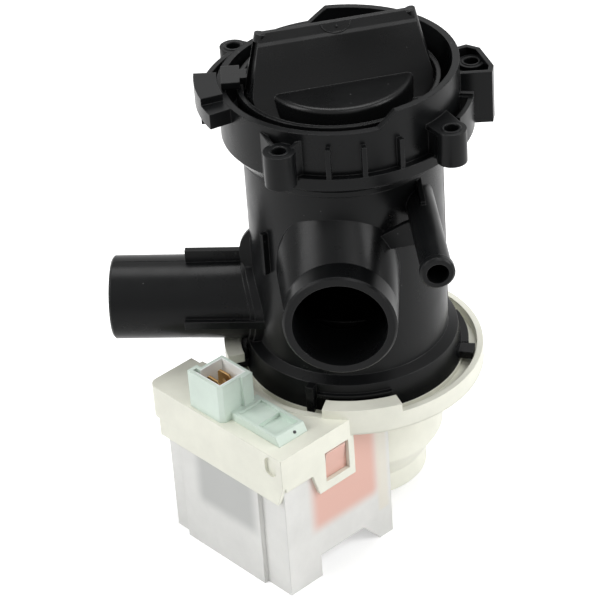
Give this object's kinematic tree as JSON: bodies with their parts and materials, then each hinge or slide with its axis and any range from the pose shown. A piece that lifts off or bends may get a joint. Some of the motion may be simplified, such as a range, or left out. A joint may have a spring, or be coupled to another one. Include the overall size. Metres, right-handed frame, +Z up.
{
  "type": "washing machine drain pump",
  "caption": "Drain pump: black filter housing with winged filter cap, front inlet, side outlet and vent nozzle, on a cream motor flange with a milky coil cover.",
  "frame": {"origin": "on the pump axis in the plane of the screw bosses' tops, the centre of the two opposite mouth screws", "axes": "+Z up the pump axis and out of the filter mouth, -Y along the inlet stub, -X along the outlet stub"},
  "size_m": [0.1349, 0.1149, 0.1886],
  "materials": {
    "black_plastic": "satin moulded black polypropylene",
    "cap_plastic": "satin moulded black polypropylene, slightly glossier",
    "cream_plastic": "satin moulded cream plastic",
    "milky_plastic": "milky translucent moulded plastic",
    "mint_plastic": "satin moulded pale mint plastic",
    "brass": "stamped brass tab",
    "lamination": "stacked electrical steel, varnished edges",
    "steel": "ground stainless steel",
    "coil_tape": "salmon coil tape over the winding",
    "bobbin_plastic": "moulded pale mint plastic",
    "ferrite": "sintered ferrite, dull dark grey",
    "sleeve_plastic": "overmoulded dark plastic",
    "bearing_carbon": "dark sintered bearing material",
    "rubber": "matt black rubber",
    "impeller_plastic": "satin moulded grey plastic"
  },
  "bodies": {
    "housing": {"pump_body": "black_plastic", "flange_seal": "rubber", "motor_flange": "cream_plastic", "coil_cover": "milky_plastic", "terminal_housing": "mint_plastic", "terminal_blade_1": "brass", "terminal_blade_2": "brass", "stator_core": "lamination", "core_rivets": "steel", "bobbin_1": "bobbin_plastic", "bobbin_2": "bobbin_plastic", "coil_1": "coil_tape", "coil_2": "coil_tape", "bearing_holder": "sleeve_plastic", "front_bearing": "bearing_carbon", "rear_bearing": "bearing_carbon", "rear_bearing_mount": "rubber"},
    "rotor": {"rotor_shaft": "steel", "rotor_magnet": "ferrite", "rotor_sleeve": "sleeve_plastic", "thrust_washer_front": "bearing_carbon", "thrust_washer_rear": "bearing_carbon", "drive_dog": "sleeve_plastic"},
    "impeller": {"impeller": "impeller_plastic", "impeller_cover": "impeller_plastic"},
    "filter": {"filter_strainer": "cap_plastic"},
    "cap": {"filter_cap": "cap_plastic", "cap_seal": "rubber"}
  },
  "joints": [
    {"name": "rotor_spin", "type": "hinge", "parent": "housing", "child": "rotor", "pos_m": [0, 0, -0.12], "axis": [0, 0, 1], "continuous": true},
    {"name": "impeller_play", "type": "hinge", "parent": "rotor", "child": "impeller", "pos_m": [0, 0, -0.095], "axis": [0, 0, -1], "range_deg": [0, 236]},
    {"name": "filter_pull", "type": "slide", "parent": "housing", "child": "filter", "axis": [0, 0, 1], "range_m": [0, 0.09]},
    {"name": "cap_turn", "type": "hinge", "parent": "filter", "child": "cap", "pos_m": [0, 0, 0], "axis": [0, 0, 1], "range_deg": [0, 90]}
  ]
}
